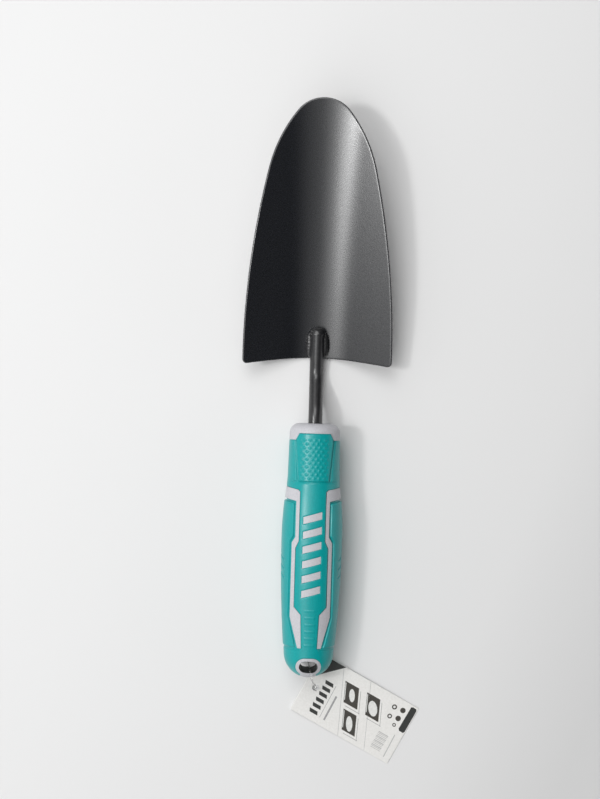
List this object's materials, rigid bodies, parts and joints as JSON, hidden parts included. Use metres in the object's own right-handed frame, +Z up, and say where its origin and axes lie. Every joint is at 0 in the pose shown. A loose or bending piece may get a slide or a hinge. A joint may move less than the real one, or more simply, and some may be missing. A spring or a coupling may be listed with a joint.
{
  "type": "hand trowel",
  "caption": "Garden hand trowel: coated steel scoop on a cranked bar, two-tone soft grip with a hang hole, and a swing tag on a nylon loop.",
  "frame": {"origin": "centre of the hang hole, on the handle's axis", "axes": "+Y along the handle's axis towards the blade's tip, +Z up along the hang hole with the scoop's hollow facing up, +X to the right"},
  "size_m": [0.1079, 0.3814, 0.0342],
  "materials": {
    "blade_coat": "matte black powder coat with fine grain",
    "bar_coat": "satin black coat",
    "core_plastic": "light grey moulded polypropylene",
    "grip_rubber": "teal soft-touch rubber",
    "clear_nylon": "clear nylon",
    "tag_card": null
  },
  "bodies": {
    "trowel": {"blade": "blade_coat", "tang": "bar_coat", "weld_bead_left": "bar_coat", "weld_bead_right": "bar_coat", "weld_bead_end": "bar_coat", "handle_core": "core_plastic", "grip_sleeve": "grip_rubber", "side_pad_left": "grip_rubber", "side_pad_right": "grip_rubber"},
    "loop": {"tag_loop": "clear_nylon"},
    "tag": {"swing_tag": "tag_card"}
  },
  "joints": [
    {"name": "loop_swing", "type": "hinge", "parent": "trowel", "child": "loop", "pos_m": [0.00038, -0.00031, 0], "axis": [-0.9622, -0.2723, 0], "range_deg": [0, 20]},
    {"name": "tag_turn", "type": "hinge", "parent": "loop", "child": "tag", "pos_m": [0.00502, -0.0167, -0.01555], "axis": [0, 0, 1], "range_deg": [-60, 18]}
  ]
}
